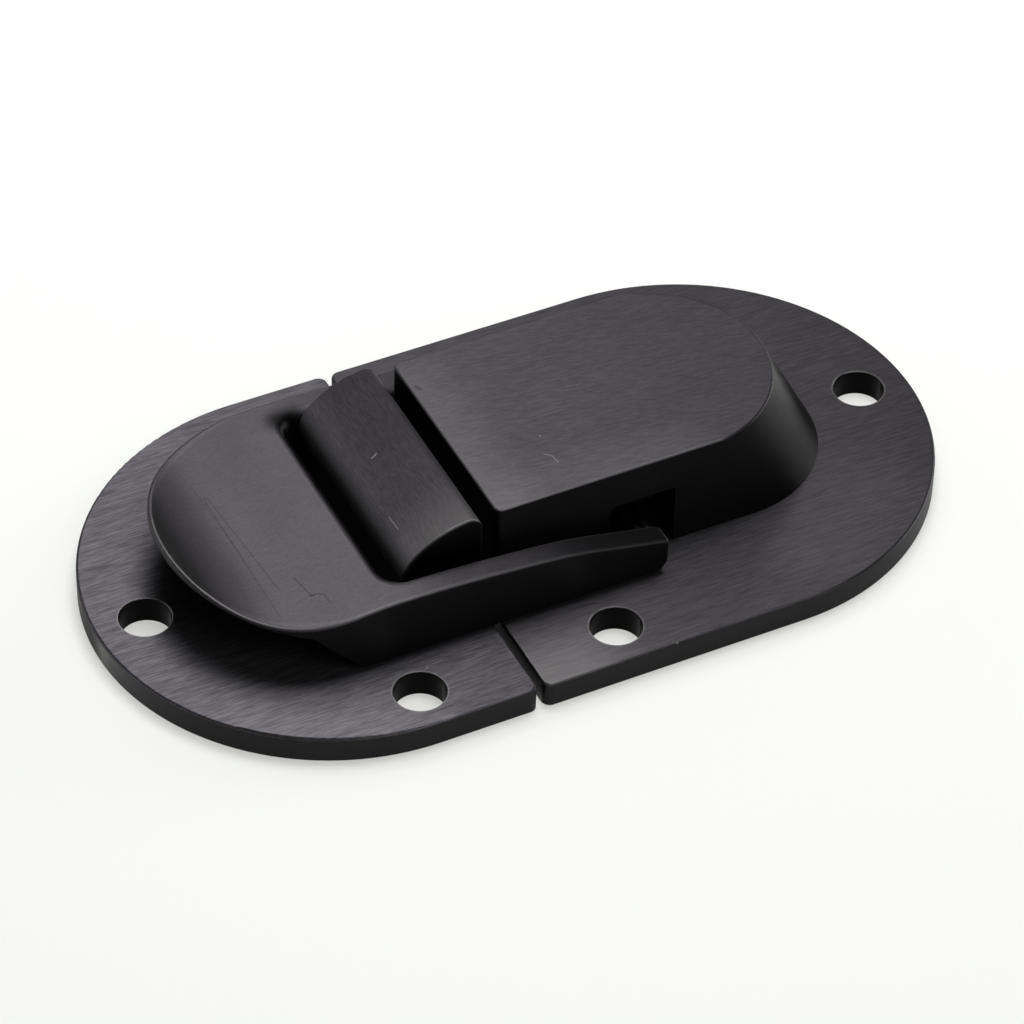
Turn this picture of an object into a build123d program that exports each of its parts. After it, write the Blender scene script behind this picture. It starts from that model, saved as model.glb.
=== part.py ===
from build123d import *
import math
import os

# Press lock clasp in two halves, closed. Millimetres, +Z up, X from the paddle to the housing's round end.
# The origin lies in the middle of the closed clasp's outline, on its flat underside.

# Plates
plate_length = 71.6
plate_width = 40.0
plate_thickness = 2.4
gap_offset = 7.15
gap_width = 0.5
gap_corner_radius = 0.75
plate_edge_radius = 0.22
plate_foot_chamfer = 0.15

# Mounting holes, three in each plate
mount_hole_diameter = 4.2
hole_rim_chamfer = 0.04
end_hole_inset = 4.2
side_hole_spacing = 16.8
side_holes_offset = 7.4
side_hole_inset = 3.65

# Housing, heights above the plate
housing_width = 19.1
housing_height = 9.05
housing_setback = 0.8
housing_foot_length = 32.6
housing_top_length = 27.9
housing_top_end_bow = 0.1
housing_corner_radius = 0.65
housing_edge_radius = 0.2
side_wall = 1.9
front_wall = 1.8

# Notch through both side walls, and the pocket between them
notch_setback = 9.9
notch_length = 5.7
notch_height = 5.6
notch_corner_radius = 0.7

# Hollow in the housing's round end, with two screw bosses
hollow_wall = 1.9
hollow_length = 7.4
hollow_side_wall = 2.35
hollow_height = 6.6
hollow_corner_radius = 2.0
boss_diameter = 6.2
boss_from_wall = 2.8

# Keeper block, heights above the plate
block_overhang = 0.25
block_length = 6.85
block_height = 9.35
nose_height = 4.55
nose_undercut = 0.6
block_back_radius = 1.1
block_end_radius = 0.2

# Crossbar, at rest in the closed clasp
crossbar_diameter = 2.5
pivot_from_notch = 2.4
pivot_height = 1.7
running_clearance = 0.05

# Slider that holds the crossbar
slider_clearance = 0.3
slider_travel = 0.8
slider_back = 2.2
slider_roof = 2.5
saddle_lip = 0.9
post_diameter = 2.2
post_length = 2.4

# Springs behind the slider
spring_diameter = 3.8
spring_wire = 0.5
spring_wire_sides = 8
spring_turns = 6
spring_height = 2.8
spring_side_room = 0.2
spring_end_room = 0.02

# Lever, seen from above
arm_gap = 0.7
arm_thickness = 2.4
window_gap = 1.25
window_corner_radius = 1.6
paddle_length = 14.55
paddle_tip_bow = 1.55
paddle_shoulder_inset = 2.45
arm_end_length = 1.3

# Lever, seen from the side, heights above the plate
lever_lift = 0.25
paddle_tip_height = 6.7
paddle_tip_slope = 27.0
scoop_from_tip = 5.7
scoop_height = 5.38
crest_height = 6.08
shoulder_from_window = 10.0
shoulder_height = 5.6
bend_from_window = 16.85
bend_height = 4.73
arm_slope = 12.9
rim_thickness = 0.6
root_from_tip = 7.2
root_height = 4.55
heel_slope = 46.0
heel_radius = 1.2
arm_foot_radius = 1.3
arm_nose_radius = 0.3
lever_edge_radius = 0.3
window_edge_radius = 0.9

# Lip of the lever, which catches under the nose of the keeper block
lip_depth = 0.65
lip_height = 1.9
lip_rise = 2.4

# Countersunk screws from below
screw_diameter = 3.0
screw_length = 7.4
screw_head_diameter = 5.5
screw_head_rim = 0.25
screw_head_recess = 0.1
screw_tip_chamfer = 0.3
screw_clearance = 0.1
thread_clearance = 0.02
thread_tip_room = 0.4
thread_wall = 0.98
key_width = 2.0
key_depth = 0.9
block_screw_from_end = 4.3
front_screw_setback = 3.8

# Places that follow from the sizes
half_length = plate_length / 2
half_width = plate_width / 2
keeper_edge = -gap_offset - gap_width / 2
catch_edge = -gap_offset + gap_width / 2
housing_front = catch_edge + housing_setback
housing_side = housing_width / 2
housing_top_end_radius = housing_side + housing_top_end_bow
housing_top = plate_thickness + housing_height
notch_front = housing_front + notch_setback
notch_back = notch_front + notch_length
notch_top = plate_thickness + notch_height
pocket_side = housing_side - side_wall
hollow_front = notch_back + hollow_wall
hollow_top = plate_thickness + hollow_height
hollow_side = housing_side - hollow_side_wall
boss_x = hollow_front + boss_from_wall
boss_y = hollow_side - boss_from_wall
pivot_x = notch_front + pivot_from_notch
pivot_z = plate_thickness + pivot_height
crossbar_radius = crossbar_diameter / 2
saddle_radius = crossbar_radius + running_clearance
slider_front = pivot_x - crossbar_radius - slider_back
slider_low = plate_thickness + slider_clearance
slider_top = notch_top - slider_clearance
pocket_front = slider_front - slider_travel - slider_clearance
spring_seat = housing_front + front_wall
spring_z = plate_thickness + spring_height
channel_radius = spring_diameter / 2 + spring_side_room
thread_radius = screw_diameter / 2 + thread_clearance
spring_side = thread_radius + thread_wall + channel_radius
block_front = keeper_edge - block_length
block_side = housing_side + block_overhang
block_screw_y = block_side - block_screw_from_end
block_top = plate_thickness + block_height
window_front = block_front - window_gap
lever_tip = window_front - paddle_length
lever_inner = housing_side + arm_gap
lever_outer = lever_inner + arm_thickness
paddle_tip_radius = lever_outer + paddle_tip_bow
paddle_shoulder_radius = lever_outer - paddle_shoulder_inset
lever_low = plate_thickness + lever_lift
arm_end = pivot_x + arm_end_length
screw_tip = screw_head_recess + screw_length
beyond = plate_length
steepest_top_slope = 25.0


def box_between(low, high):
    """A box between two opposite corners."""
    middle = [(a + b) / 2 for a, b in zip(low, high)]
    size = [b - a for a, b in zip(low, high)]
    return Pos(*middle) * Box(*size)


def upright(radius, low, high, x=0.0, y=0.0):
    """An upright cylinder between two heights."""
    return Pos(x, y, (low + high) / 2) * Cylinder(radius, high - low)


def side_view(*lines):
    """A closed face drawn in X and Z."""
    return Plane.XZ * make_face(Curve() + list(lines))


def across(face, side):
    """A side view carried across the clasp to the same distance on both sides."""
    return extrude(Pos(0, side, 0) * face, 2 * side)


def upright_edges(solid, x):
    """The upright edges that stand at one place along X."""
    near = solid.edges().filter_by(Axis.Z)
    return near.filter_by(lambda edge: math.isclose(edge.center().X, x, abs_tol=running_clearance))


def top_edges(solid, z):
    """The edges of the flat faces at one height."""
    flat = solid.faces().filter_by(Axis.Z)
    return flat.filter_by(lambda face: math.isclose(face.center().Z, z, abs_tol=running_clearance)).edges()


def screw_places(half):
    """Where the hidden screws stand under one half of the clasp."""
    if half == "keeper":
        x = block_front + block_length / 2
        return [(x, -block_screw_y), (x, block_screw_y)]
    front = housing_front + front_screw_setback
    return [(front, 0.0), (boss_x, -boss_y), (boss_x, boss_y)]


def countersunk(radius, head_radius, low, high):
    """The shape of a countersunk screw, or of the hole for it, from its head to a height."""
    rim_top = screw_head_recess + screw_head_rim
    cone = head_radius - radius
    rim = upright(head_radius, low, rim_top)
    taper = Pos(0, 0, rim_top + cone / 2) * Cone(head_radius, radius, cone)
    return rim + taper + upright(radius, rim_top, high)


def screw_hole():
    """The countersunk hole in a plate."""
    radius = screw_diameter / 2 + screw_clearance
    head = screw_head_diameter / 2 + screw_clearance
    return countersunk(radius, head, -plate_thickness, plate_thickness + screw_clearance)


def thread_hole():
    """The tapped hole above a plate, as a plain bore a hair wider than the screw."""
    return upright(thread_radius, 0.0, screw_tip + thread_tip_room)


def screw():
    """One countersunk screw, head down, with its key socket."""
    body = countersunk(screw_diameter / 2, screw_head_diameter / 2, screw_head_recess, screw_tip)
    body = chamfer(body.edges().sort_by(Axis.Z)[-1], screw_tip_chamfer)
    key = extrude(RegularPolygon(key_width / 2, 6, major_radius=False), screw_head_recess + key_depth)
    return body - key


def mount_holes(half):
    """The places of the three mounting holes of one half."""
    side = half_width - side_hole_inset
    if half == "keeper":
        x = -side_holes_offset - side_hole_spacing / 2
        return [(end_hole_inset - half_length, 0.0), (x, -side), (x, side)]
    x = side_hole_spacing / 2 - side_holes_offset
    return [(half_length - end_hole_inset, 0.0), (x, -side), (x, side)]


def half_plate(half):
    """One half of the base: rounded outer end, square cut at the gap, plain and countersunk holes."""
    low, high, cut = -beyond, keeper_edge, keeper_edge
    if half == "catch":
        low, high, cut = catch_edge, beyond, catch_edge
    plate = extrude(SlotOverall(plate_length, plate_width), plate_thickness)
    plate &= box_between((low, -beyond, -beyond), (high, beyond, beyond))
    plate = fillet(upright_edges(plate, cut), gap_corner_radius)
    plate = fillet(top_edges(plate, plate_thickness), plate_edge_radius)
    plate = chamfer(top_edges(plate, 0.0), plate_foot_chamfer)
    for x, y in mount_holes(half):
        plate -= mount_hole(x, y)
    for x, y in screw_places(half):
        plate -= Pos(x, y, 0) * screw_hole()
    return plate


def mount_hole(x, y):
    """A mounting hole with a fine chamfer on both rims."""
    radius = mount_hole_diameter / 2
    wide = radius + hole_rim_chamfer
    shape = upright(radius, -plate_thickness, 2 * plate_thickness)
    low = Pos(0, 0, hole_rim_chamfer / 2) * Cone(wide, radius, hole_rim_chamfer)
    high = Pos(0, 0, plate_thickness - hole_rim_chamfer / 2) * Cone(radius, wide, hole_rim_chamfer)
    return Pos(x, y, 0) * (shape + low + high)


def housing_outline(length, radius, z):
    """The housing's outline at one height: square at the front, round at the end."""
    end = housing_front + length
    joint = end - radius + math.sqrt(radius**2 - housing_side**2)
    front_near = (housing_front, -housing_side)
    near = (joint, -housing_side)
    far = (joint, housing_side)
    front_far = (housing_front, housing_side)
    lines = Curve() + [
        Line(front_near, near),
        ThreePointArc(near, (end, 0.0), far),
        Line(far, front_far),
        Line(front_far, front_near),
    ]
    face = Pos(0, 0, z) * make_face(lines)
    return fillet(face.vertices().sort_by(Axis.X)[:2], housing_corner_radius)


def housing_shell():
    """The housing's outside: upright sides and front, slanted round end."""
    foot = housing_outline(housing_foot_length, housing_side, plate_thickness)
    top = housing_outline(housing_top_length, housing_top_end_radius, housing_top)
    shell = loft([foot, top], ruled=True)
    return fillet(top_edges(shell, housing_top), housing_edge_radius)


def notch():
    """The notch that the crossbar passes through, open at the foot, with one rounded top corner."""
    low = (notch_front, -housing_width, 0.0)
    high = (notch_back, housing_width, notch_top)
    shape = box_between(low, high)
    corner = shape.edges().filter_by(Axis.Y).sort_by(Axis.Z)[-2:].sort_by(Axis.X)[0]
    return fillet(corner, notch_corner_radius)


def spring_channel(y):
    """A channel for one spring, round at the top and open at the foot."""
    middle = (spring_seat + slider_front) / 2
    length = slider_front - spring_seat
    roof = Pos(middle, y, spring_z) * Rot(0, 90, 0) * Cylinder(channel_radius, length)
    low = (spring_seat, y - channel_radius, 0.0)
    high = (slider_front, y + channel_radius, spring_z)
    return roof + box_between(low, high)


def hollow():
    """The hollow in the round end, less its two screw bosses."""
    low = (hollow_front, -hollow_side, 0.0)
    high = (hollow_front + hollow_length, hollow_side, hollow_top)
    shape = box_between(low, high)
    shape = fillet(shape.edges().filter_by(Axis.Z), hollow_corner_radius)
    for side in (-1, 1):
        shape -= upright(boss_diameter / 2, 0.0, housing_top, boss_x, side * boss_y)
    return shape


def housing():
    """The housing with its notch, slider pocket, spring channels, hollow and tapped holes."""
    body = housing_shell()
    body -= notch()
    body -= box_between((pocket_front, -pocket_side, 0.0), (notch_back, pocket_side, notch_top))
    for side in (-1, 1):
        body -= spring_channel(side * spring_side)
    body -= hollow()
    for x, y in screw_places("catch"):
        body -= Pos(x, y, 0) * thread_hole()
    return body


def keeper_block():
    """The convex nose that the lever closes over, undercut for the lip."""
    bulge_z = block_top - nose_height
    centre = (keeper_edge, bulge_z)
    face = side_view(
        Line((keeper_edge, plate_thickness), (keeper_edge, block_top)),
        EllipticalCenterArc(centre, block_length, nose_height, start_angle=90, arc_size=90),
        Line((block_front, bulge_z), (block_front + nose_undercut, plate_thickness)),
        Line((block_front + nose_undercut, plate_thickness), (keeper_edge, plate_thickness)),
    )
    block = across(face, block_side)
    crest = block.edges().filter_by(Axis.Y).sort_by(Axis.Z)[-1]
    block = fillet(crest, block_back_radius)
    ends = block.faces().filter_by(Axis.Y).edges()
    above = ends.filter_by(lambda edge: edge.center().Z > bulge_z)
    block = fillet(above.filter_by(lambda edge: edge.geom_type != GeomType.LINE), block_end_radius)
    for x, y in screw_places("keeper"):
        block -= Pos(x, y, 0) * thread_hole()
    return block


def lever_outline():
    """The lever from above: an oval paddle of three arcs that runs into a parallel body."""
    offset = lever_outer - paddle_shoulder_radius
    spread = paddle_tip_radius - paddle_shoulder_radius
    tip_centre = lever_tip + paddle_tip_radius
    shoulder_x = tip_centre - math.sqrt(spread**2 - offset**2)
    lean = math.atan2(offset, tip_centre - shoulder_x)
    reach = paddle_tip_radius * math.cos(lean)
    rise = paddle_tip_radius * math.sin(lean)
    turn_x = tip_centre - reach
    half_lean = (math.pi / 2 + lean) / 2
    bow_x = shoulder_x - paddle_shoulder_radius * math.cos(half_lean)
    bow_y = offset + paddle_shoulder_radius * math.sin(half_lean)
    lines = [ThreePointArc((turn_x, -rise), (lever_tip, 0), (turn_x, rise))]
    for side in (-1, 1):
        turn = (turn_x, side * rise)
        shoulder = (shoulder_x, side * lever_outer)
        lines.append(ThreePointArc(turn, (bow_x, side * bow_y), shoulder))
        lines.append(Line(shoulder, (arm_end, side * lever_outer)))
    lines.append(Line((arm_end, -lever_outer), (arm_end, lever_outer)))
    return make_face(Curve() + lines)


def lever_top_points():
    """The lever's top in side view, from the paddle's tip to the bend of the arms."""
    tip = (lever_tip, plate_thickness + paddle_tip_height)
    scoop = (lever_tip + scoop_from_tip, plate_thickness + scoop_height)
    crest = (window_front, plate_thickness + crest_height)
    shoulder = (window_front + shoulder_from_window, plate_thickness + shoulder_height)
    bend = (window_front + bend_from_window, plate_thickness + bend_height)
    return tip, scoop, crest, shoulder, bend


def lever_side_face():
    """The lever in side view: scooped paddle, sloped heel, flat foot and falling arms."""
    tip, scoop, crest, shoulder, bend = lever_top_points()
    dip = math.radians(paddle_tip_slope)
    fall = math.tan(math.radians(arm_slope))
    nose = (arm_end, bend[1] - (arm_end - bend[0]) * fall)
    root = (lever_tip + root_from_tip, plate_thickness + root_height)
    heel_x = root[0] + (root[1] - lever_low) / math.tan(math.radians(heel_slope))
    rim = (lever_tip, tip[1] - rim_thickness)
    heel = (heel_x, lever_low)
    foot = (arm_end, lever_low)
    face = side_view(
        Spline(tip, scoop, crest, tangents=((math.cos(dip), -math.sin(dip)), (1, 0))),
        Spline(crest, shoulder, bend, tangents=((1, 0), (1, -fall))),
        Line(bend, nose),
        Line(nose, foot),
        Line(foot, heel),
        Line(heel, root),
        Line(root, rim),
        Line(rim, tip),
    )
    face = round_corner(face, heel, heel_radius)
    face = round_corner(face, foot, arm_foot_radius)
    return round_corner(face, nose, arm_nose_radius)


def round_corner(face, corner, radius):
    """Rounds the corner of a side view that lies at a place in X and Z."""
    place = Vector(corner[0], 0, corner[1])
    vertex = face.vertices().sort_by(lambda point: (Vector(*point) - place).length)[0]
    return fillet(vertex, radius)


def lever_window():
    """The space between the arms, from the front of the window to beyond the arms' ends."""
    low = (window_front, -lever_inner, 0.0)
    high = (beyond, lever_inner, beyond)
    shape = box_between(low, high)
    return fillet(upright_edges(shape, window_front), window_corner_radius)


def lever_lip():
    """The lip along the foot of the window's front wall."""
    top = lever_low + lip_height
    tip = window_front + lip_depth
    root = window_front - lip_depth
    face = side_view(
        Line((root, lever_low), (tip, lever_low)),
        Line((tip, lever_low), (tip, top)),
        Line((tip, top), (window_front, top + lip_rise)),
        Line((window_front, top + lip_rise), (root, top + lip_rise)),
        Line((root, top + lip_rise), (root, lever_low)),
    )
    return across(face, lever_inner)


def crossbar():
    """The round bar between the arm tips, on which the lever turns."""
    return Pos(pivot_x, 0, pivot_z) * Rot(90, 0, 0) * Cylinder(crossbar_radius, 2 * lever_inner)


def lever_top_edges(body):
    """The edges of the lever's top: first those around the outside, then those around the window."""
    level = math.cos(math.radians(steepest_top_slope))
    tops = body.faces().filter_by(lambda face: face.normal_at().Z > level and face.center().Z > pivot_z)
    edges = tops.edges()
    joints = edges.filter_by(Axis.Y).filter_by(lambda edge: edge.center().X > window_front + lip_depth)
    outside = ShapeList()
    inside = ShapeList()
    for edge in edges.filter_by(lambda edge: edge not in joints):
        middle = edge @ 0.5
        within = abs(middle.Y) < lever_outer - arm_thickness / 2 and middle.X > window_front - lip_depth
        (inside if within else outside).append(edge)
    return outside, inside


def lever():
    """The forked lever: paddle, window, arms, lip and crossbar in one piece."""
    body = extrude(lever_outline(), beyond) & across(lever_side_face(), beyond)
    body -= lever_window()
    body = fillet(lever_top_edges(body)[0], lever_edge_radius)
    body = fillet(lever_top_edges(body)[1], window_edge_radius)
    body += lever_lip()
    body += crossbar()
    return body


def slider():
    """The pad that the springs push: saddle for the crossbar, roof over it and a post in each spring."""
    side = pocket_side - slider_clearance
    body = box_between((slider_front, -side, slider_low), (pivot_x + slider_roof, side, slider_top))
    body -= Pos(pivot_x, 0, pivot_z) * Rot(90, 0, 0) * Cylinder(saddle_radius, housing_width)
    body -= box_between((pivot_x - saddle_lip, -beyond, 0.0), (beyond, beyond, pivot_z))
    body -= box_between((pivot_x, -beyond, 0.0), (beyond, beyond, pivot_z + saddle_radius))
    for side in (-1, 1):
        place = Pos(slider_front - post_length / 2, side * spring_side, spring_z)
        body += place * Rot(0, 90, 0) * Cylinder(post_diameter / 2, post_length)
    return body


def spring(y):
    """A compression spring between the housing's front wall and the slider."""
    radius = (spring_diameter - spring_wire) / 2
    length = slider_front - spring_seat - spring_wire - 2 * spring_end_room
    path = Helix(length / spring_turns, length, radius)
    profile = Plane(path @ 0, z_dir=path % 0) * RegularPolygon(spring_wire / 2, spring_wire_sides)
    start = spring_seat + spring_wire / 2 + spring_end_room
    return Pos(start, y, spring_z) * Rot(0, 90, 0) * sweep(profile, path)


def pieces():
    """Every piece of the clasp, by name."""
    made = {
        "keeper_plate": half_plate("keeper"),
        "keeper_block": keeper_block(),
        "catch_plate": half_plate("catch"),
        "housing": housing(),
        "lever": lever(),
        "slider": slider(),
        "spring_near": spring(-spring_side),
        "spring_far": spring(spring_side),
    }
    names = ["keeper_screw_near", "keeper_screw_far"]
    names += ["housing_screw_front", "housing_screw_near", "housing_screw_far"]
    for name, (x, y) in zip(names, screw_places("keeper") + screw_places("catch")):
        made[name] = Pos(x, y, 0) * screw()
    return made


os.makedirs("parts", exist_ok=True)
for name, solid in pieces().items():
    export_step(solid, f"parts/{name}.step")
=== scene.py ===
"""A press lock clasp in two halves: black PVD coated brushed steel on a plain pale floor.

The CAD solids carry every shape. This script gives each of them its finish, with some painted highlights and
painted shade in it, and sets up the studio.
"""
import logging
import math
from dataclasses import dataclass, field
from enum import Enum
from typing import Any

import bpy
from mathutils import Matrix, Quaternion, Vector


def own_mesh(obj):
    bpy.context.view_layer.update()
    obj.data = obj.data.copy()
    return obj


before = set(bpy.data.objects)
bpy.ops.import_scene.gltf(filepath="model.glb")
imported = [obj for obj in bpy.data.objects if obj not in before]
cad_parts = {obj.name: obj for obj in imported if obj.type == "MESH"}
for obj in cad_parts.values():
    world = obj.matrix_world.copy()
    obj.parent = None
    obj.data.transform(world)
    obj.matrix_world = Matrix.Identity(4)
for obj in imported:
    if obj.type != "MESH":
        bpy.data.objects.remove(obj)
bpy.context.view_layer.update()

LOG = logging.getLogger("clasp")
MM = 0.001
IMAGE_WIDTH = 1024

Tree = bpy.types.NodeTree
Socket = bpy.types.NodeSocket

# Nearly all of a noise lies between these two values
NOISE_SPAN = {"From Min": 0.3, "From Max": 0.7}
# Nearly all of the mixed brush lines lie between these two
LINE_SPAN = {"From Min": 0.35, "From Max": 0.65}


def linear(hex_colour: str) -> tuple[float, float, float, float]:
    """Turns an sRGB hex colour into the linear colour that Blender's sockets take.

    Args:
        hex_colour: Six hex digits with a leading hash sign.

    Returns:
        Red, green, blue and an alpha of one.
    """
    channels = []
    for start in (1, 3, 5):
        value = int(hex_colour[start:start + 2], 16) / 255
        low = value / 12.92
        high = ((value + 0.055) / 1.055) ** 2.4
        channels.append(low if value <= 0.04045 else high)
    return channels[0], channels[1], channels[2], 1.0


def ground_point(point_mm: tuple[float, float]) -> Vector:
    """Turns a place seen from above into a point at height zero.

    Args:
        point_mm: X and Y in millimetres.

    Returns:
        The point in metres.
    """
    return Vector((point_mm[0] * MM, point_mm[1] * MM, 0.0))


def add_node(tree: Tree, kind: str, inputs: dict[Any, Any] | None = None, **settings: Any) -> bpy.types.Node:
    """Adds a node with its settings, its constants and its links.

    Args:
        tree: The node tree that gets the node.
        kind: Blender's name for the kind of node.
        inputs: What goes into each input, by name or number: a socket to link, or a constant.
        settings: Properties of the node itself.

    Returns:
        The new node.
    """
    node = tree.nodes.new(kind)
    for name, value in settings.items():
        setattr(node, name, value)
    for key, value in (inputs or {}).items():
        if isinstance(value, Socket):
            tree.links.new(value, node.inputs[key])
        else:
            node.inputs[key].default_value = value
    return node


class Grain(Enum):
    """Which way the brush ran over a piece."""

    ALONG = (1.0, 0.0, 0.0)
    ACROSS = (0.0, 1.0, 0.0)


class Tone(Enum):
    """The colour of a mark. BRIGHT is bare steel where the coat is thin, and also serves painted highlights.
    DARK is a duller black than the coat, and also serves painted shade.
    """

    BRIGHT = "#8f8d8c"
    DARK = "#141414"


@dataclass(frozen=True)
class Mark:
    """A scratch, fleck or tool mark, or a soft patch of painted highlight or painted shade, drawn as strokes
    seen from above.

    Attributes:
        points_mm: Where the strokes run, X and Y in millimetres.
        width_mm: How wide the stroke is.
        tone: Lighter or darker than the surface.
        strength: From 0, unseen, to 1, full.
        soft: How far the edge fades, from 0, crisp, to 1, from the middle line out.
        all_round: Whether it covers upright faces too.
    """

    points_mm: tuple[tuple[float, float], ...]
    width_mm: float
    tone: Tone
    strength: float = 1.0
    soft: float = 0.6
    all_round: bool = False

    def mask(self, tree: Tree, place: Socket) -> Socket:
        """Adds the nodes that are at full strength on the mark and 0 away from it.

        Args:
            tree: The material's node tree.
            place: The point's place, flattened to X and Y, in metres.

        Returns:
            The mask's output socket.
        """
        half = self.width_mm * MM / 2
        masks = []
        for start, end in zip(self.points_mm, self.points_mm[1:]):
            first = ground_point(start)
            run = ground_point(end) - first
            away = add_node(tree, "ShaderNodeVectorMath", {0: place, 1: first}, operation="SUBTRACT")
            along = add_node(tree, "ShaderNodeVectorMath",
                             {0: away.outputs[0], 1: run / run.length_squared}, operation="DOT_PRODUCT")
            held = add_node(tree, "ShaderNodeClamp", {"Value": along.outputs["Value"]})
            nearest = add_node(tree, "ShaderNodeVectorMath",
                               {0: run, "Scale": held.outputs[0]}, operation="SCALE")
            gap = add_node(tree, "ShaderNodeVectorMath",
                           {0: away.outputs[0], 1: nearest.outputs[0]}, operation="DISTANCE")
            stroke = add_node(tree, "ShaderNodeMapRange",
                              {"Value": gap.outputs["Value"], "From Min": (1 + self.soft) * half,
                               "From Max": (1 - self.soft) * half, "To Min": 0.0, "To Max": self.strength},
                              interpolation_type="SMOOTHSTEP")
            masks.append(stroke.outputs[0])
        joined = masks[0]
        for other in masks[1:]:
            joined = add_node(tree, "ShaderNodeMath", {0: joined, 1: other}, operation="MAXIMUM").outputs[0]
        return joined


@dataclass(frozen=True)
class Rim:
    """A line of painted highlight or painted shade along the edge of a piece that is as wide as its round
    end, seen from above.

    Attributes:
        middle_mm: X of the round end's middle. The end points to -X, and straight sides run on from it.
        radius_mm: How far the edge is from that middle, and from the piece's middle line.
        reach_mm: How far the wear fades out to either side.
        tone: Lighter or darker than the surface.
        strength: From 0, unseen, to 1, full.
        all_round: Whether it covers upright faces too.
    """

    middle_mm: float
    radius_mm: float
    reach_mm: float
    tone: Tone
    strength: float = 1.0
    all_round: bool = False

    def mask(self, tree: Tree, place: Socket) -> Socket:
        """Adds the nodes that are at full strength on the edge and 0 away from it.

        Args:
            tree: The material's node tree.
            place: The point's place, flattened to X and Y, in metres.

        Returns:
            The mask's output socket.
        """
        away = add_node(tree, "ShaderNodeVectorMath",
                        {0: place, 1: ground_point((self.middle_mm, 0.0))}, operation="SUBTRACT")
        # Past the middle only the distance from the middle line counts, so the sides run on straight
        held = add_node(tree, "ShaderNodeVectorMath",
                        {0: away.outputs[0], 1: (0.0, 1.0, 1.0)}, operation="MINIMUM")
        far = add_node(tree, "ShaderNodeVectorMath", {0: held.outputs[0]}, operation="LENGTH")
        off = add_node(tree, "ShaderNodeMath",
                       {0: far.outputs["Value"], 1: self.radius_mm * MM}, operation="SUBTRACT")
        gap = add_node(tree, "ShaderNodeMath", {0: off.outputs[0]}, operation="ABSOLUTE")
        return add_node(tree, "ShaderNodeMapRange",
                        {"Value": gap.outputs[0], "From Min": self.reach_mm * MM, "From Max": 0.0,
                         "To Min": 0.0, "To Max": self.strength}, interpolation_type="SMOOTHSTEP").outputs[0]


@dataclass(frozen=True)
class Bores:
    """The screw holes of a plate, with painted shade on their walls and a painted highlight round their rims.

    Attributes:
        middles_mm: Middles of the holes, X and Y in millimetres.
        radius_mm: Radius of the holes.
        wall_from_mm: How far outside the radius the painted shade of the wall is full.
        wall_to_mm: How far outside the radius it has gone.
        wall_shade_hex: Colour of the painted shade on the walls.
        rim_mm: How wide the painted highlight on the rim is.
        rim_strength: From 0, unseen, to 1, full.
    """

    middles_mm: tuple[tuple[float, float], ...]
    radius_mm: float = 2.1
    wall_from_mm: float = 0.06
    wall_to_mm: float = 0.12
    wall_shade_hex: str = "#0d0d0d"
    rim_mm: float = 0.16
    rim_strength: float = 0.4

    def paint(self, tree: Tree, place: Socket, colour: Socket, brushed: Socket) -> Socket:
        """Darkens the walls of the holes with painted shade and brightens their rims with a painted
        highlight.

        Args:
            tree: The material's node tree.
            place: The point's place, flattened to X and Y, in metres.
            colour: The colour so far.
            brushed: 1 on upward faces and 0 on the walls.

        Returns:
            The colour with the holes in it.
        """
        radius = self.radius_mm * MM
        for middle in self.middles_mm:
            gap = add_node(tree, "ShaderNodeVectorMath",
                           {0: place, 1: ground_point(middle)}, operation="DISTANCE").outputs["Value"]
            inside = add_node(tree, "ShaderNodeMapRange",
                              {"Value": gap, "From Min": radius + self.wall_to_mm * MM,
                               "From Max": radius + self.wall_from_mm * MM})
            wall = add_node(tree, "ShaderNodeMath",
                            {0: inside.outputs[0], 1: brushed}, operation="SUBTRACT", use_clamp=True)
            rim = add_node(tree, "ShaderNodeMapRange",
                           {"Value": gap, "From Min": radius + self.rim_mm * MM, "From Max": radius,
                            "To Max": self.rim_strength})
            lit_rim = add_node(tree, "ShaderNodeMath", {0: rim.outputs[0], 1: brushed}, operation="MULTIPLY")
            # Painted shade on the hole walls, then a painted highlight on the rims
            for share, hex_colour in ((wall, self.wall_shade_hex), (lit_rim, Tone.BRIGHT.value)):
                colour = add_node(tree, "ShaderNodeMix",
                                  {"Factor": share.outputs[0], "A": colour, "B": linear(hex_colour)},
                                  data_type="RGBA").outputs["Result"]
        return colour


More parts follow.
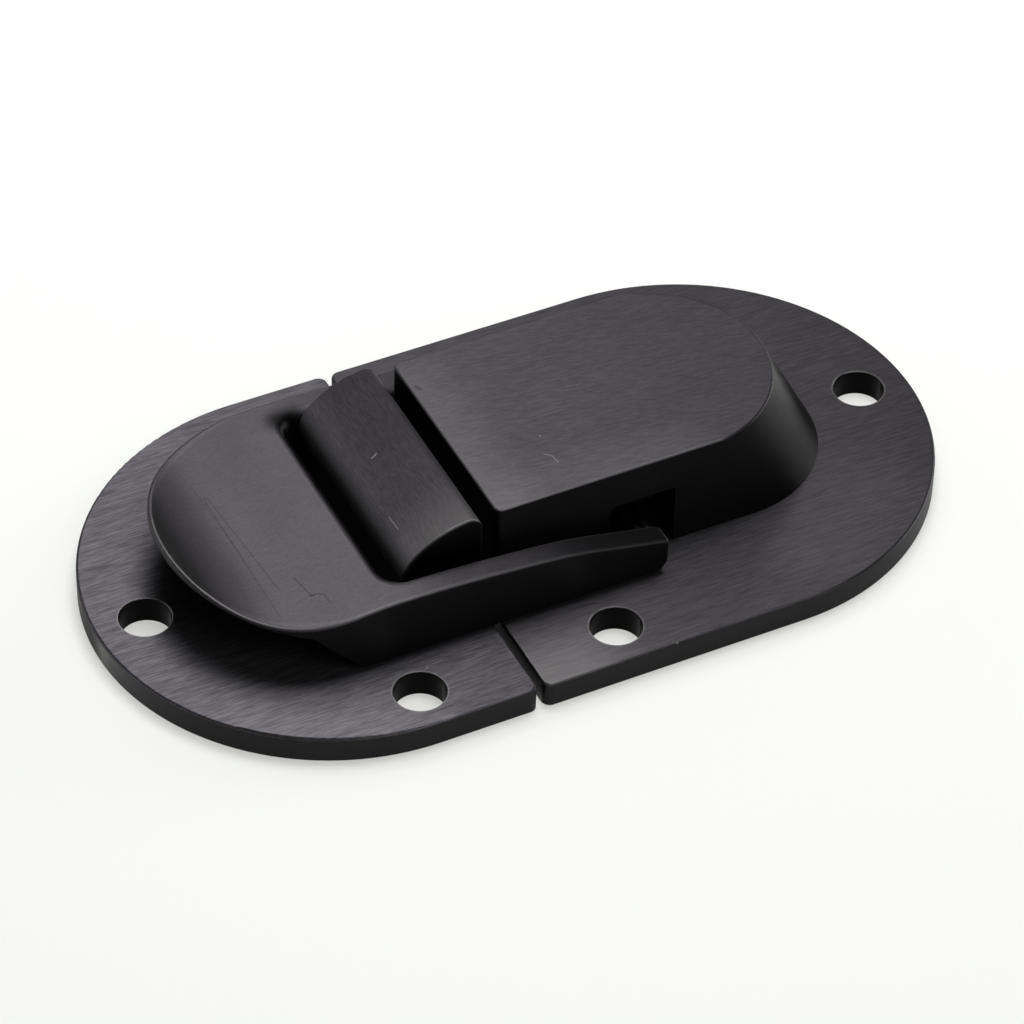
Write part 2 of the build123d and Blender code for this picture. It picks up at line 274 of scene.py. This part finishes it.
@dataclass(frozen=True)
class BrushedBlackSteel:
    """Stainless steel, brushed with a fine belt and then coated black in vacuum (PVD).

    The coat is thin and dark, so the surface has a metal's mirror strength of a few percent and no
    colour of its own below it. Brush lines on the faces that the belt reached spread light across
    them. Sides and edges are only tumbled: duller and a little darker, which is partly that finish
    and partly painted shade. Real brush lines lie about 0.03 mm apart, too fine for the render to
    show, so they are drawn about four times as coarse.

    Attributes:
        name: The material's name.
        top_hex: Colour of the coat on the brushed faces.
        side_hex: Colour of the coat on the tumbled faces, partly that finish and partly painted shade.
        grain: Which way the brush ran.
        skew_deg: How far the brush ran off that way, counter-clockwise from above.
        line_pitch_mm: Distance from one brush line to the next.
        line_length_mm: How long one brush line runs.
        line_depth_mm: How deep the lines are.
        line_contrast: How far the lines lighten and darken the coat.
        broad_pitches: How many fine lines a broad one is wide.
        broad_lengths: How many fine lines a broad one is long.
        broad_share: How much the broad lines count, from 0 to 1.
        speck_mm: Size of the fine specks between the lines.
        speck_contrast: How far the specks lighten and darken the coat.
        clouds_per_m: How many soft patches there are in a metre.
        cloud_contrast: How far the patches lighten and darken the coat.
        cloud_roughness: How far the patches roughen it.
        roughness: Roughness of the brushed faces.
        side_roughness: Roughness of the tumbled faces.
        anisotropy: How far the lines stretch a highlight.
        least_up: How far up a face points where the brush began to reach it, from 0, upright, to 1, level.
        up_fade: How much further up it points where the brush reached it fully.
        lean: Upward share of the grain's direction, so that it runs straight into no upright face.
        marks: Scratches, flecks, and soft patches and edges of painted highlight and painted shade.
        bores: Screw holes, if the piece has any.
    """

    name: str
    top_hex: str = "#3d3b3e"
    side_hex: str = "#1b1b1c"
    grain: Grain = Grain.ALONG
    skew_deg: float = 0.0
    line_pitch_mm: float = 0.12
    line_length_mm: float = 1.0
    line_depth_mm: float = 0.001
    line_contrast: float = 0.2
    broad_pitches: int = 4
    broad_lengths: int = 2
    broad_share: float = 0.15
    speck_mm: float = 0.08
    speck_contrast: float = 0.14
    clouds_per_m: float = 220.0
    cloud_contrast: float = 0.06
    cloud_roughness: float = 0.06
    roughness: float = 0.42
    side_roughness: float = 0.42
    anisotropy: float = 0.85
    least_up: float = 0.35
    up_fade: float = 0.35
    lean: float = 0.08
    marks: tuple[Mark | Rim, ...] = ()
    bores: Bores | None = None

    def lines(self, tree: Tree, place: Socket, pitch_mm: float, length_mm: float) -> Socket:
        """Adds one set of brush lines as a noise that is long one way and fine the other two.

        Args:
            tree: The material's node tree.
            place: Object coordinates in metres.
            pitch_mm: Distance between lines.
            length_mm: Length of a line.

        Returns:
            A value from 0 to 1.
        """
        fine, long = 1 / (pitch_mm * MM), 1 / (length_mm * MM)
        scale = [long if part else fine for part in self.grain.value]
        squared = add_node(tree, "ShaderNodeVectorRotate",
                           {"Vector": place, "Angle": math.radians(-self.skew_deg)}, rotation_type="Z_AXIS")
        mapped = add_node(tree, "ShaderNodeMapping", {"Vector": squared.outputs[0], "Scale": scale})
        noise = add_node(tree, "ShaderNodeTexNoise",
                         {"Vector": mapped.outputs[0], "Scale": 1.0, "Detail": 2.0, "Roughness": 0.6})
        return noise.outputs[0]

    def shaded(self, tree: Tree, both: Socket, cloud: Socket, specks: Socket, brushed: Socket) -> Socket:
        """Adds the coat's colour with its lines, patches and specks.

        Args:
            tree: The material's node tree.
            both: Fine and broad brush lines.
            cloud: Soft patches.
            specks: Fine specks.
            brushed: 1 where the brush reached and 0 where it didn't.

        Returns:
            The colour.
        """
        streak = add_node(tree, "ShaderNodeMapRange",
                          {"Value": both, **LINE_SPAN,
                           "To Min": 1 - self.line_contrast, "To Max": 1 + self.line_contrast})
        # Faces the brush didn't reach take side_hex: partly the tumbled finish, partly painted shade
        tint = add_node(tree, "ShaderNodeMix",
                        {"Factor": brushed, "A": linear(self.side_hex), "B": linear(self.top_hex)},
                        data_type="RGBA")
        shade = add_node(tree, "ShaderNodeMix", {"Factor": brushed, "A": 1.0, "B": streak.outputs[0]})
        for noise, contrast in ((cloud, self.cloud_contrast), (specks, self.speck_contrast)):
            change = add_node(tree, "ShaderNodeMapRange",
                              {"Value": noise, **NOISE_SPAN, "To Min": 1 - contrast, "To Max": 1 + contrast})
            shade = add_node(tree, "ShaderNodeMath",
                             {0: shade.outputs[0], 1: change.outputs[0]}, operation="MULTIPLY")
        return add_node(tree, "ShaderNodeVectorMath",
                        {0: tint.outputs["Result"], "Scale": shade.outputs[0]}, operation="SCALE").outputs[0]

    def across(self, tree: Tree) -> Socket:
        """Adds the direction along the surface that lies square to the brush lines.

        Args:
            tree: The material's node tree.

        Returns:
            The tangent, in world space.
        """
        leaning = Vector(self.grain.value) + Vector((0.0, 0.0, self.lean))
        turned = add_node(tree, "ShaderNodeVectorTransform", {0: leaning}, vector_type="VECTOR",
                          convert_from="OBJECT", convert_to="WORLD")
        facing = add_node(tree, "ShaderNodeNewGeometry")
        return add_node(tree, "ShaderNodeVectorMath",
                        {0: facing.outputs["Normal"], 1: turned.outputs[0]},
                        operation="CROSS_PRODUCT").outputs[0]

    def build(self) -> bpy.types.Material:
        """Builds the material.

        Returns:
            The finished material.
        """
        material = bpy.data.materials.new(self.name)
        material.use_nodes = True
        tree = material.node_tree
        tree.nodes.clear()
        spot = add_node(tree, "ShaderNodeTexCoord")
        place = spot.outputs["Object"]

        fine = self.lines(tree, place, self.line_pitch_mm, self.line_length_mm)
        broad = self.lines(tree, place, self.broad_pitches * self.line_pitch_mm,
                           self.broad_lengths * self.line_length_mm)
        both = add_node(tree, "ShaderNodeMix", {"Factor": self.broad_share, "A": fine, "B": broad}).outputs[0]
        cloud = add_node(tree, "ShaderNodeTexNoise",
                         {"Vector": place, "Scale": self.clouds_per_m, "Detail": 3.0}).outputs[0]
        specks = add_node(tree, "ShaderNodeTexNoise",
                          {"Vector": place, "Scale": 1 / (self.speck_mm * MM), "Detail": 1.0}).outputs[0]

        upward = add_node(tree, "ShaderNodeSeparateXYZ", {0: spot.outputs["Normal"]})
        brushed = add_node(tree, "ShaderNodeMapRange",
                           {"Value": upward.outputs["Z"], "From Min": self.least_up,
                            "From Max": self.least_up + self.up_fade}).outputs[0]
        flat = add_node(tree, "ShaderNodeVectorMath",
                        {0: place, 1: (1.0, 1.0, 0.0)}, operation="MULTIPLY").outputs[0]

        colour = self.shaded(tree, both, cloud, specks, brushed)
        for mark in self.marks:
            drawn = add_node(tree, "ShaderNodeMath",
                             {0: mark.mask(tree, flat), 1: 1.0 if mark.all_round else brushed},
                             operation="MULTIPLY")
            colour = add_node(tree, "ShaderNodeMix",
                              {"Factor": drawn.outputs[0], "A": colour, "B": linear(mark.tone.value)},
                              data_type="RGBA").outputs["Result"]
        if self.bores:
            colour = self.bores.paint(tree, flat, colour, brushed)

        dull = add_node(tree, "ShaderNodeMapRange",
                        {"Value": brushed, "To Min": self.side_roughness, "To Max": self.roughness})
        rough = add_node(tree, "ShaderNodeMath", {0: cloud, 1: self.cloud_roughness, 2: dull.outputs[0]},
                         operation="MULTIPLY_ADD")
        deep = add_node(tree, "ShaderNodeMath", {0: both, 1: brushed}, operation="MULTIPLY")
        bump = add_node(tree, "ShaderNodeBump",
                        {"Height": deep.outputs[0], "Distance": self.line_depth_mm * MM, "Strength": 1.0})
        shader = add_node(tree, "ShaderNodeBsdfPrincipled",
                          {"Base Color": colour, "Metallic": 1.0, "Roughness": rough.outputs[0],
                           "Normal": bump.outputs[0], "Anisotropic": self.anisotropy,
                           "Tangent": self.across(tree)})
        add_node(tree, "ShaderNodeOutputMaterial", {"Surface": shader.outputs[0]})
        return material


@dataclass(frozen=True)
class PlainMetal:
    """A small hidden metal part with its own finish, such as black oxide, drawn wire or a casting.

    Attributes:
        name: The material's name.
        hex_colour: Colour of the metal or of its coat.
        roughness: Roughness of the surface.
        grain_mm: Size of the surface's grain.
        depth_mm: How deep the grain is.
        contrast: How far the grain lightens and darkens the metal.
        roughness_swing: How far the roughness swings from the smoothest to the roughest grain.
    """

    name: str
    hex_colour: str
    roughness: float
    grain_mm: float
    depth_mm: float
    contrast: float = 0.2
    roughness_swing: float = 0.12

    def build(self) -> bpy.types.Material:
        """Builds the material.

        Returns:
            The finished material.
        """
        material = bpy.data.materials.new(self.name)
        material.use_nodes = True
        tree = material.node_tree
        tree.nodes.clear()
        spot = add_node(tree, "ShaderNodeTexCoord")
        grain = add_node(tree, "ShaderNodeTexNoise",
                         {"Vector": spot.outputs["Object"], "Scale": 1 / (self.grain_mm * MM), "Detail": 3.0})
        shade = add_node(tree, "ShaderNodeMapRange",
                         {"Value": grain.outputs[0], **NOISE_SPAN,
                          "To Min": 1 - self.contrast, "To Max": 1 + self.contrast})
        colour = add_node(tree, "ShaderNodeVectorMath",
                          {0: linear(self.hex_colour)[:3], "Scale": shade.outputs[0]}, operation="SCALE")
        rough = add_node(tree, "ShaderNodeMath",
                         {0: grain.outputs[0], 1: self.roughness_swing,
                          2: self.roughness - self.roughness_swing / 2}, operation="MULTIPLY_ADD")
        bump = add_node(tree, "ShaderNodeBump",
                        {"Height": grain.outputs[0], "Distance": self.depth_mm * MM, "Strength": 1.0})
        shader = add_node(tree, "ShaderNodeBsdfPrincipled",
                          {"Base Color": colour.outputs[0], "Metallic": 1.0, "Roughness": rough.outputs[0],
                           "Normal": bump.outputs[0]})
        add_node(tree, "ShaderNodeOutputMaterial", {"Surface": shader.outputs[0]})
        return material


# Black oxide is a dull black in which the steel's own fine grain still shows
SCREW_FINISH = PlainMetal("black_oxide_steel_screw", "#3c3d40", 0.4, 0.15, 0.002)
# Drawn wire is bare and bright, with a narrow highlight along it
SPRING_FINISH = PlainMetal("drawn_spring_steel_wire", "#a9a9aa", 0.28, 0.12, 0.001)
# A coated casting is an even soft black with a slightly uneven skin
SLIDER_FINISH = PlainMetal("black_coated_cast_zinc", "#1d1d1f", 0.5, 0.3, 0.006)
SPRINGS = ("spring_near", "spring_far")


@dataclass
class SubAssembly:
    """Pieces of the clasp that are dressed together.

    Attributes:
        title: What the log calls it.
        finishes: The finish of each CAD node, by name.
    """

    title: str
    finishes: dict[str, BrushedBlackSteel | PlainMetal] = field(default_factory=dict)

    def dress(self) -> None:
        """Gives each node its finish."""
        for node, finish in self.finishes.items():
            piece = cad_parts[node]
            material = bpy.data.materials.get(finish.name) or finish.build()
            piece.data.materials.clear()
            piece.data.materials.append(material)
            LOG.info("%s: %s in %s", self.title, node, finish.name)


class KeeperHalf(SubAssembly):
    """The half that the lever closes over: plate, block and two hidden screws."""

    def __init__(self) -> None:
        """Sets the finishes of the keeper half, with the painted highlights, painted shade and flecks of its
        faces.
        """
        # The keeper plate's coat is coloured lighter than the catch plate's: painted highlight
        plate = BrushedBlackSteel(
            "black_pvd_brushed_steel_keeper_plate", top_hex="#464448", side_hex="#2a2a2b", line_pitch_mm=0.13,
            line_length_mm=1.7, line_depth_mm=0.002, line_contrast=0.36, least_up=0.05,
            bores=Bores(((-31.6, 0.0), (-15.8, -16.35), (-15.8, 16.35))),
            marks=(
                # A painted highlight on the plate's near-left part and painted shade in front of the block,
                # then flecks
                Mark(((-28.0, -14.0), (-20.6, -18.5)), 7.0, Tone.BRIGHT, 0.06, soft=1.0),
                Mark(((-11.5, -18.6), (-8.5, -17.5)), 5.0, Tone.DARK, 0.25, soft=1.0),
                Mark(((-33.8, -10.96), (-33.7, -10.9)), 0.14, Tone.BRIGHT, 0.6),
                Mark(((-14.25, -14.31), (-14.2, -14.25)), 0.12, Tone.BRIGHT, 0.5),
            ))
        block = BrushedBlackSteel(
            "black_pvd_brushed_steel_keeper_block", grain=Grain.ACROSS,
            marks=(
                # A painted highlight at the block's near end, then flecks
                Mark(((-10.3, -9.8), (-7.6, -9.8)), 6.0, Tone.BRIGHT, 0.17, soft=1.0),
                Mark(((-11.42, 1.0), (-11.8, 0.91)), 0.12, Tone.BRIGHT, 0.7),
                Mark(((-13.04, -4.86), (-13.0, -6.41)), 0.07, Tone.BRIGHT, 0.35),
                Mark(((-14.1, -6.04), (-14.13, -6.29)), 0.07, Tone.BRIGHT, 0.3),
            ))
        screws = {name: SCREW_FINISH for name in ("keeper_screw_near", "keeper_screw_far")}
        super().__init__("keeper half", {"keeper_plate": plate, "keeper_block": block, **screws})


class CatchHalf(SubAssembly):
    """The half that carries the lever: plate, housing, hidden screws, slider and springs."""

    def __init__(self) -> None:
        """Sets the finishes of the catch half, with the painted highlights, scratches and flecks of its
        faces.
        """
        plate = BrushedBlackSteel(
            "black_pvd_brushed_steel_catch_plate", side_hex="#2a2a2b", line_pitch_mm=0.13,
            line_length_mm=1.7, line_depth_mm=0.002, line_contrast=0.24, least_up=0.05,
            bores=Bores(((31.6, 0.0), (1.0, -16.35), (1.0, 16.35))),
            marks=(
                # Painted highlights beside the gap and on the plate's right part, then a fleck
                Mark(((-6.5, -19.0), (-3.5, -19.0)), 7.0, Tone.BRIGHT, 0.16, soft=1.0),
                Mark(((21.0, -16.0), (26.5, -12.0)), 8.0, Tone.BRIGHT, 0.055, soft=1.0),
                Mark(((4.42, -20.0), (4.48, -19.96)), 0.12, Tone.BRIGHT, 0.5),
            ))
        housing = BrushedBlackSteel(
            "black_pvd_brushed_steel_housing", skew_deg=-8.0,
            marks=(
                # Painted highlights along the left end and the near edge of the top, then scratches and
                # flecks
                Mark(((-5.6, -8.0), (-5.6, 6.0)), 5.0, Tone.BRIGHT, 0.06, soft=1.0),
                Mark(((-4.0, -8.6), (10.0, -8.6)), 4.5, Tone.BRIGHT, 0.05, soft=1.0),
                Mark(((0.14, -5.09), (0.6, -5.5), (0.75, -6.4)), 0.08, Tone.BRIGHT, 0.3),
                Mark(((0.79, -3.05), (0.8, -3.12)), 0.12, Tone.BRIGHT, 0.3),
                Mark(((6.3, 0.3), (6.9, -0.3)), 0.10, Tone.DARK, 0.5),
                Mark(((-5.5, 6.3), (-5.3, 5.8)), 0.25, Tone.DARK, 0.5),
            ))
        screws = ("housing_screw_front", "housing_screw_near", "housing_screw_far")
        super().__init__("catch half", {
            "catch_plate": plate, "housing": housing, **{name: SCREW_FINISH for name in screws},
            "slider": SLIDER_FINISH, **{name: SPRING_FINISH for name in SPRINGS}})

    def dress(self) -> None:
        """Gives each node its finish, and gives each spring a mesh of its own."""
        super().dress()
        for name in SPRINGS:
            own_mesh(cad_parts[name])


class Lever(SubAssembly):
    """The forked lever with its scooped paddle."""

    def __init__(self) -> None:
        """Sets the lever's finish, with the mill lines of its paddle, a painted highlight along the paddle's
        tip and rim, painted shade on its crossbar and window corner, and flecks.
        """
        lever = BrushedBlackSteel(
            "black_pvd_brushed_steel_lever", top_hex="#3e3c3f", line_contrast=0.1,
            marks=(
                # Painted shade: the crossbar inside the housing and the window's far corner are coloured
                # dark, where they lie in deep shade
                Mark(((6.2, -8.6), (6.2, 8.6)), 2.9, Tone.DARK, 1.0, soft=0.1, all_round=True),
                Mark(((-15.5, 10.2), (-14.3, 10.2)), 2.2, Tone.DARK, 0.95, soft=0.7, all_round=True),
                # Mill lines, then a painted highlight along the paddle's tip and rim, then flecks
                Mark(((-24.34, 5.0), (-24.33, -9.5)), 0.12, Tone.DARK, 0.3),
                Mark(((-24.05, 5.05), (-23.2, -6.63)), 0.12, Tone.DARK, 0.3),
                Mark(((-24.7, 6.9), (-24.25, -2.7)), 0.10, Tone.DARK, 0.2),
                Mark(((-29.2, 3.0), (-29.7, 0.4), (-28.3, -4.8), (-25.4, -8.9)), 2.4,
                     Tone.BRIGHT, 0.04, soft=1.0),
                Rim(-17.4, 12.5, 0.28, Tone.BRIGHT, 0.05),
                Mark(((-20.94, -5.65), (-19.36, -5.89), (-18.72, -6.52)), 0.12, Tone.DARK, 0.12),
                Mark(((-21.3, -8.55), (-21.15, -8.6)), 0.3, Tone.DARK, 0.35),
                Mark(((0.02, -9.93), (0.05, -9.9)), 0.12, Tone.BRIGHT, 0.6),
                Mark(((1.04, -10.17), (1.07, -10.15)), 0.10, Tone.BRIGHT, 0.5),
                Mark(((2.22, -10.6), (2.25, -10.58)), 0.10, Tone.BRIGHT, 0.5),
                Mark(((7.56, -10.32), (7.6, -10.3)), 0.12, Tone.BRIGHT, 0.6),
                Mark(((-21.7, -6.1), (-21.3, -8.6), (-20.8, -8.6), (-20.45, -9.0), (-20.35, -9.9)), 0.14,
                     Tone.DARK, 0.35),
            ))
        super().__init__("lever", {"lever": lever})


@dataclass(frozen=True)
class Softbox:
    """An oblong softbox.

    Attributes:
        name: The lamp's name.
        place_m: Where it hangs, in metres.
        wide_m: Its size along X in metres.
        deep_m: Its other size in metres.
        radiance: How bright its face is, where 1 is white.
        level: Whether it hangs level and faces straight down. Otherwise it faces the clasp.
    """

    name: str
    place_m: tuple[float, float, float]
    wide_m: float
    deep_m: float
    radiance: float
    level: bool = False

    def hang(self) -> None:
        """Hangs the softbox in the scene."""
        data = bpy.data.lights.new(self.name, "AREA")
        data.shape = "RECTANGLE"
        data.size = self.wide_m
        data.size_y = self.deep_m
        data.energy = self.radiance * math.pi * self.wide_m * self.deep_m
        lamp = bpy.data.objects.new(self.name, data)
        bpy.context.scene.collection.objects.link(lamp)
        lamp.location = self.place_m
        lamp.rotation_mode = "QUATERNION"
        if not self.level:
            lamp.rotation_quaternion = Vector(self.place_m).to_track_quat("Z", "Y")


@dataclass
class Studio:
    """The pale floor, the soft light and the camera.

    Attributes:
        eye_mm: Where the camera stands.
        target_mm: The point that it looks at.
        roll_deg: How far it is turned about its own axis.
        focal_px: Focal length in pixels of the image.
        sensor_mm: Width of the camera's sensor.
        nearest_m: How near the camera sees.
        farthest_m: How far the camera sees.
        floor_m: Length and width of the floor.
        floor_hex: Colour of the floor and of the room.
        seen_hex: Colour of the background, as it is seen.
        seen_share: How much of the floor's look is that colour, so that the rest keeps the shadow.
        room_light: Strength of the room's even light.
        softboxes: The lamps. The level ones hang where the upward faces mirror them.
    """

    eye_mm: tuple[float, float, float] = (-127.672, -250.687, 262.759)
    target_mm: tuple[float, float, float] = (0.565, 0.996, 0.0)
    roll_deg: float = 1.306
    focal_px: float = 4813.1
    sensor_mm: float = 36.0
    nearest_m: float = 0.01
    farthest_m: float = 20.0
    floor_m: float = 6.0
    floor_hex: str = "#fafbf8"
    seen_hex: str = "#e5e6e3"
    seen_share: float = 0.55
    room_light: float = 0.06
    softboxes: tuple[Softbox, ...] = (
        Softbox("softbox_above", (0.045, 0.02, 0.32), 0.17, 0.10, 11.5, level=True),
        Softbox("softbox_behind", (0.045, 0.155, 0.32), 0.17, 0.17, 5.6, level=True),
        Softbox("softbox_far_right", (0.245, 0.33, 0.32), 0.11, 0.18, 5.0, level=True),
        Softbox("softbox_left", (-0.125, 0.19, 0.32), 0.07, 0.10, 5.5, level=True),
        Softbox("fill_right", (0.76, 0.08, 0.2), 0.7, 0.4, 3.4),
        Softbox("fill_back_left", (-0.53, 0.56, 0.2), 0.7, 0.4, 2.0),
        Softbox("fill_front", (0.0, -0.75, 0.72), 1.6, 0.45, 1.4),
    )

    def camera(self) -> None:
        """Sets the camera at the photographed angle."""
        data = bpy.data.cameras.new("camera")
        data.sensor_width = self.sensor_mm
        data.lens = self.focal_px * self.sensor_mm / IMAGE_WIDTH
        data.clip_start = self.nearest_m
        data.clip_end = self.farthest_m
        camera = bpy.data.objects.new("camera", data)
        bpy.context.scene.collection.objects.link(camera)
        eye, target = Vector(self.eye_mm) * MM, Vector(self.target_mm) * MM
        camera.rotation_mode = "QUATERNION"
        facing = (eye - target).to_track_quat("Z", "Y")
        camera.rotation_quaternion = facing @ Quaternion((0.0, 0.0, 1.0), math.radians(self.roll_deg))
        camera.location = eye
        bpy.context.scene.camera = camera

    def floor(self) -> None:
        """Lays the pale floor: matt, so that it keeps a soft shadow of the clasp and mirrors nothing."""
        bpy.ops.object.select_all(action="DESELECT")
        bpy.ops.mesh.primitive_plane_add(size=self.floor_m, location=(0.0, 0.0, 0.0))
        floor = bpy.context.object
        floor.name = "floor"
        material = bpy.data.materials.new("matt_pale_floor")
        material.use_nodes = True
        tree = material.node_tree
        tree.nodes.clear()
        path = add_node(tree, "ShaderNodeLightPath")
        seen = path.outputs["Is Camera Ray"]
        for ray in ("Is Glossy Ray", "Is Transmission Ray"):
            seen = add_node(tree, "ShaderNodeMath",
                            {0: seen, 1: path.outputs[ray]}, operation="MAXIMUM").outputs[0]
        share = add_node(tree, "ShaderNodeMath", {0: seen, 1: self.seen_share}, operation="MULTIPLY")
        matt = add_node(tree, "ShaderNodeBsdfDiffuse", {"Color": linear(self.floor_hex)})
        lit = add_node(tree, "ShaderNodeEmission", {"Color": linear(self.seen_hex), "Strength": 1.0})
        mixed = add_node(tree, "ShaderNodeMixShader",
                         {0: share.outputs[0], 1: matt.outputs[0], 2: lit.outputs[0]})
        add_node(tree, "ShaderNodeOutputMaterial", {"Surface": mixed.outputs[0]})
        floor.data.materials.append(material)

    def world(self) -> None:
        """Sets the even light of the room."""
        world = bpy.data.worlds.new("room")
        bpy.context.scene.world = world
        world.use_nodes = True
        tree = world.node_tree
        tree.nodes.clear()
        sky = add_node(tree, "ShaderNodeBackground",
                       {"Color": linear(self.floor_hex), "Strength": self.room_light})
        add_node(tree, "ShaderNodeOutputWorld", {"Surface": sky.outputs[0]})

    def build(self) -> None:
        """Sets up the whole studio."""
        self.camera()
        self.floor()
        self.world()
        for softbox in self.softboxes:
            softbox.hang()
        bpy.context.scene.view_settings.view_transform = "Standard"
        LOG.info("studio: camera, floor, room light and %d softboxes", len(self.softboxes))


def main() -> None:
    """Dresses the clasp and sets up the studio."""
    logging.basicConfig(level=logging.INFO, format="%(message)s")
    for part in (KeeperHalf(), CatchHalf(), Lever()):
        part.dress()
    Studio().build()


if __name__ == "__main__":
    main()
